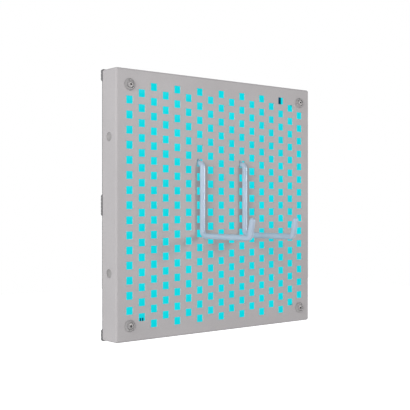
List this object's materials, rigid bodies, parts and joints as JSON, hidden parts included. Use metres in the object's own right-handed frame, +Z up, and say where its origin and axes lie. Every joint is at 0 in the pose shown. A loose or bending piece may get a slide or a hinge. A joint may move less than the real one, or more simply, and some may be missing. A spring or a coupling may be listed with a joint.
{
  "type": "led grow light",
  "caption": "Square sheet-metal LED grow light panel with a staggered field of small square windows over a cyan light sheet and tilting wire peg hooks.",
  "frame": {"origin": "centre of the rear mounting plane, on the raised face of the hanger plate", "axes": "+Z up, +Y towards the wall, so the lit front faces -Y; +X is to the right for someone facing the front"},
  "size_m": [0.312, 0.1302, 0.314],
  "materials": {
    "tray_paint": "satin pale grey powder coat",
    "cover_paint": "satin mid grey powder coat",
    "light_sheet": "lit cyan diffuser",
    "hardware_steel": "zinc plated, satin",
    "wire_paint": "gloss pale blue-grey coating",
    "aluminium": "mill finish",
    "board_white": "white solder mask",
    "board_green": "green solder mask",
    "nylon": "natural nylon",
    "black_plastic": "satin black",
    "pad_rubber": "matt dark grey",
    "plug_plastic": "matt grey",
    "clip_blue": "dark blue, satin",
    "brass": "turned",
    "red_insulation": "satin red"
  },
  "bodies": {
    "panel": {"front_tray": "tray_paint", "rear_cover": "cover_paint", "light_sheet": "light_sheet", "light_rim": "light_sheet", "led_board": "board_white", "heat_spreader": "aluminium", "corner_cup_washer_top_left": "hardware_steel", "corner_screw_top_left": "hardware_steel", "corner_post_top_left": "aluminium", "board_spacer_top_left": "nylon", "rear_spacer_top_left": "nylon", "cover_screw_top_left": "hardware_steel", "corner_pad_top_left": "pad_rubber", "corner_cup_washer_top_right": "hardware_steel", "corner_screw_top_right": "hardware_steel", "corner_post_top_right": "aluminium", "board_spacer_top_right": "nylon", "rear_spacer_top_right": "nylon", "cover_screw_top_right": "hardware_steel", "corner_pad_top_right": "pad_rubber", "corner_cup_washer_bottom_left": "hardware_steel", "corner_screw_bottom_left": "hardware_steel", "corner_post_bottom_left": "aluminium", "board_spacer_bottom_left": "nylon", "rear_spacer_bottom_left": "nylon", "cover_screw_bottom_left": "hardware_steel", "corner_pad_bottom_left": "pad_rubber", "corner_cup_washer_bottom_right": "hardware_steel", "corner_screw_bottom_right": "hardware_steel", "corner_post_bottom_right": "aluminium", "board_spacer_bottom_right": "nylon", "rear_spacer_bottom_right": "nylon", "cover_screw_bottom_right": "hardware_steel", "corner_pad_bottom_right": "pad_rubber", "side_pad_left": "pad_rubber", "side_plug_left_upper": "plug_plastic", "side_plug_left_lower": "plug_plastic", "side_pad_right": "pad_rubber", "side_plug_right_upper": "plug_plastic", "side_plug_right_lower": "plug_plastic", "sheet_clip_top": "clip_blue", "sheet_clip_bottom": "clip_blue", "driver_board": "board_green", "driver_inductor": "black_plastic", "driver_capacitor": "aluminium", "input_terminal": "nylon", "output_terminal": "nylon", "dc_inlet": "black_plastic", "inlet_nut": "brass", "supply_lead_positive": "red_insulation", "supply_lead_negative": "black_plastic", "led_lead_positive": "red_insulation", "led_lead_negative": "black_plastic", "hanger_plate": "hardware_steel", "hanger_screw_top_left": "hardware_steel", "hanger_screw_top_right": "hardware_steel", "hanger_screw_bottom_left": "hardware_steel", "hanger_screw_bottom_right": "hardware_steel"},
    "left_hook": {"left_wire_hook": "wire_paint"},
    "right_hook": {"right_wire_hook": "wire_paint"}
  },
  "joints": [
    {"name": "left_hook_tilt", "type": "hinge", "parent": "panel", "child": "left_hook", "pos_m": [-0.0344, -0.031, 0.0471], "axis": [-1, 0, 0], "range_deg": [0, 30]},
    {"name": "right_hook_tilt", "type": "hinge", "parent": "panel", "child": "right_hook", "pos_m": [0.0344, -0.031, 0.0471], "axis": [-1, 0, 0], "range_deg": [0, 30]}
  ]
}
